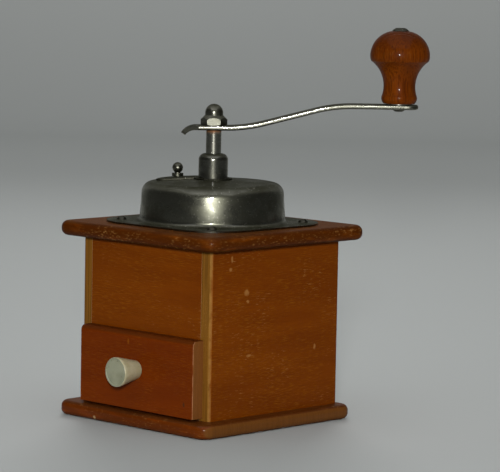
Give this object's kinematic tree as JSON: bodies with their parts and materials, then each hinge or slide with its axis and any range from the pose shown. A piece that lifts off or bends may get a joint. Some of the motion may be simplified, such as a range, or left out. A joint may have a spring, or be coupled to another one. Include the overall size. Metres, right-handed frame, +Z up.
{
  "type": "hand crank coffee grinder",
  "caption": "Wooden box coffee mill with a plated hopper dome, a bent crank arm with a turned wooden knob, a conical burr set and a drawer for the ground coffee.",
  "frame": {"origin": "on the crank shaft's axis, at the underside of the base board", "axes": "+Z up along the crank shaft, -Y towards the drawer's front, +X to the right as seen from the front"},
  "size_m": [0.15, 0.1601, 0.2165],
  "materials": {
    "box_beech": "orange brown varnished beech",
    "drawer_beech": "red brown varnished beech",
    "raw_beech": "plain planed beech",
    "turned_beech": "glossy varnished turned beech",
    "ivory_plastic": "smooth ivory",
    "nickel_plate": "worn nickel plate",
    "steel": "plain steel",
    "grey_iron": "grey cast iron"
  },
  "bodies": {
    "mill_body": {"base_plate": "box_beech", "base_screws": "steel", "left_wall": "box_beech", "right_wall": "box_beech", "rear_wall": "box_beech", "front_panel": "box_beech", "top_plate": "box_beech", "hopper_dome": "nickel_plate", "dome_screws": "steel", "bearing_sleeve": "nickel_plate", "burr_housing": "grey_iron", "housing_screws": "steel", "outer_burr": "grey_iron", "lower_bridge": "grey_iron", "bridge_screws": "steel"},
    "drawer": {"drawer_front": "drawer_beech", "drawer_left_side": "raw_beech", "drawer_right_side": "raw_beech", "drawer_back": "raw_beech", "drawer_bottom": "raw_beech", "drawer_knob": "ivory_plastic", "drawer_knob_screw": "steel"},
    "hatch": {"fill_hatch": "nickel_plate", "hatch_knob": "nickel_plate"},
    "thrust_seat": {"thrust_ball": "steel"},
    "adjuster": {"adjusting_screw": "steel"},
    "crank": {"main_shaft": "steel", "inner_burr": "grey_iron", "burr_nut": "steel", "crank_arm": "nickel_plate", "cap_nut": "nickel_plate", "knob_washer": "steel", "knob_rivet": "steel"},
    "knob": {"crank_knob": "turned_beech"}
  },
  "joints": [
    {"name": "drawer_slide", "type": "slide", "parent": "mill_body", "child": "drawer", "axis": [0, -1, 0], "range_m": [0, 0.08]},
    {"name": "hatch_swing", "type": "hinge", "parent": "mill_body", "child": "hatch", "pos_m": [0, 0, 0.1314], "axis": [0, 0, 1], "range_deg": [0, 100]},
    {"name": "grind_lift", "type": "slide", "parent": "mill_body", "child": "thrust_seat", "axis": [0, 0, 1], "range_m": [-0.0005, 0.0005]},
    {"name": "grind_adjust", "type": "hinge", "parent": "thrust_seat", "child": "adjuster", "pos_m": [0, 0, 0.06], "axis": [0, 0, 1], "range_deg": [-180, 180]},
    {"name": "crank_turn", "type": "hinge", "parent": "thrust_seat", "child": "crank", "pos_m": [0, 0, 0.15], "axis": [0, 0, 1], "continuous": true},
    {"name": "knob_spin", "type": "hinge", "parent": "crank", "child": "knob", "pos_m": [0.07257, 0.07082, 0.19], "axis": [0, 0, 1], "continuous": true}
  ],
  "couplings": [
    {"joint": "grind_adjust", "follows": "grind_lift", "rad_per_m": 6283.2}
  ]
}
